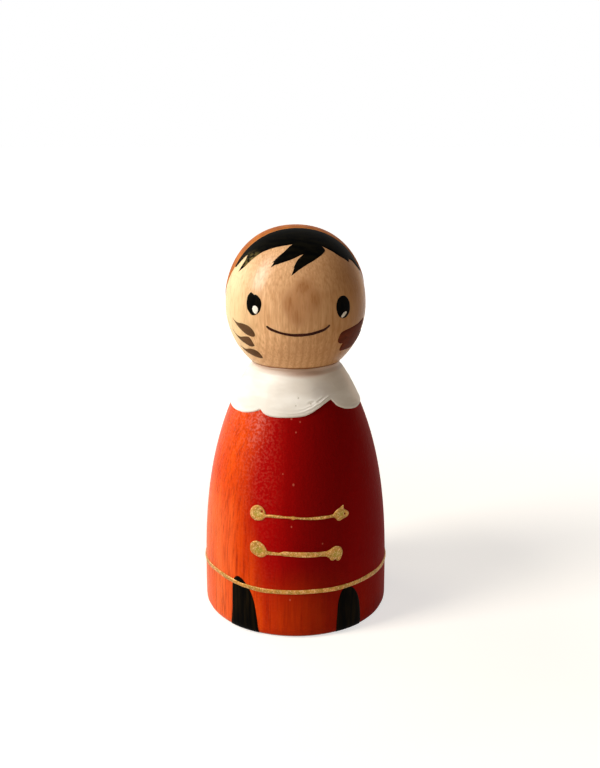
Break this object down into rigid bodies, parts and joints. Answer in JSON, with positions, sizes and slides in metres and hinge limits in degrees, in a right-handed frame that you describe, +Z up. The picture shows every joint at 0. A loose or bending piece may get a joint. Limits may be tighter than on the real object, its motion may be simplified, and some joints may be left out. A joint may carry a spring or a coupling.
{
  "type": "peg doll",
  "caption": "Turned wooden peg doll with a ball head, painted in a red coat with gold braid, a scalloped white collar, black fringe, russet cap and a smiling face.",
  "frame": {"origin": "centre of the flat base, on the surface that the doll stands on", "axes": "+Z up along the turning axis, -Y towards the front, where the face and the braid are, +X to the right as seen from in front"},
  "size_m": [0.0434, 0.0434, 0.0892],
  "materials": {
    "beech_wood": "sanded, bare and lightly sealed, with fine beech flecks",
    "red_paint": "satin acrylic with upright brush marks and raised grain",
    "white_paint": "satin acrylic, laid on thick",
    "black_paint": "satin acrylic",
    "russet_paint": "satin acrylic",
    "mouth_paint": "satin paint-pen line",
    "brown_wash": "thinned acrylic that lets the wood show a little",
    "gold_paint": "raised metallic paint with a fine grain"
  },
  "bodies": {
    "root": {"turned_peg": "beech_wood", "red_coat": "red_paint", "white_collar": "white_paint", "hair": "black_paint", "cap": "russet_paint", "eye_left": "black_paint", "eye_right": "black_paint", "glint_left": "white_paint", "glint_right": "white_paint", "mouth": "mouth_paint", "cheek_stroke_left_1": "brown_wash", "cheek_stroke_left_2": "brown_wash", "cheek_stroke_left_3": "brown_wash", "cheek_patch_right": "brown_wash", "upper_frog": "gold_paint", "lower_frog": "gold_paint", "hem_braid": "gold_paint", "boot_left": "black_paint", "boot_right": "black_paint"}
  },
  "joints": []
}
